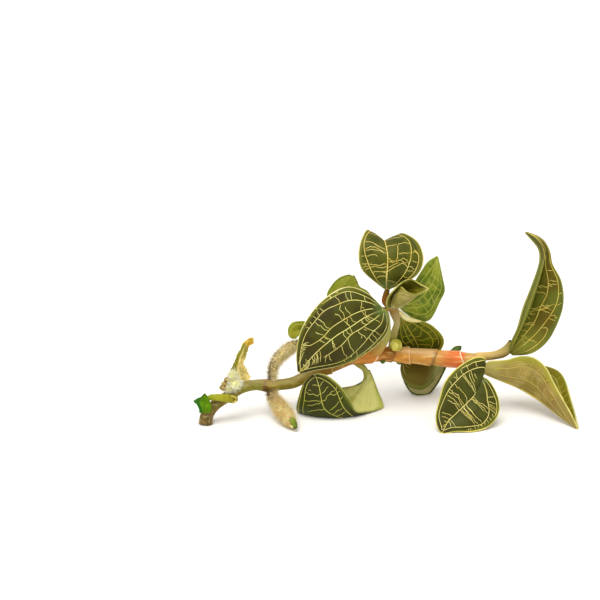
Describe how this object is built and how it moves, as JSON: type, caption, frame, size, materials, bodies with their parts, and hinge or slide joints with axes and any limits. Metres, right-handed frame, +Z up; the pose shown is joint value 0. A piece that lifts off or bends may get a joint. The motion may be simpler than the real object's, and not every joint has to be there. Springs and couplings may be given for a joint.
{
  "type": "jewel orchid cutting",
  "caption": "Creeping jewel orchid cutting lying on a surface: jointed orange and olive stem, side rosette, dark oval leaves with a gold vein net.",
  "frame": {"origin": "on the surface that the cutting lies on, under the middle of its bounding box", "axes": "+X from the cut end towards the growing tip, +Y towards the back, +Z up"},
  "size_m": [0.1652, 0.0559, 0.0815],
  "materials": {
    "leaf_velvet": "velvety dark olive green with raised gold veins",
    "leaf_fresh": "satin yellow green underside",
    "stem_skin": "satin, orange and olive",
    "root_fuzz": "fuzzy cream",
    "sheath_paper": "papery straw yellow",
    "scrap_green": "satin bright green",
    "peel_skin": "satin yellow green",
    "fibre_white": "fluffy white to pale yellow"
  },
  "bodies": {
    "root": {"stem": "stem_skin", "leaf_large_front": "leaf_velvet", "leaf_top_recurved": "leaf_velvet", "leaf_young_rolled": "leaf_velvet", "leaf_rear_upright": "leaf_fresh", "leaf_behind_stem": "leaf_velvet", "leaf_cupped_under_stem": "leaf_velvet", "leaf_folded_front": "leaf_velvet", "leaf_small_curled": "leaf_fresh", "leaf_behind_large": "leaf_fresh", "leaf_right_folded": "leaf_velvet", "leaf_right_upright": "leaf_velvet", "leaf_front_heart": "leaf_velvet", "root_rising": "root_fuzz", "root_falling": "root_fuzz", "dried_sheath": "sheath_paper", "torn_scrap": "scrap_green", "peeled_strip": "peel_skin", "fibre_tuft": "fibre_white"}
  },
  "joints": []
}
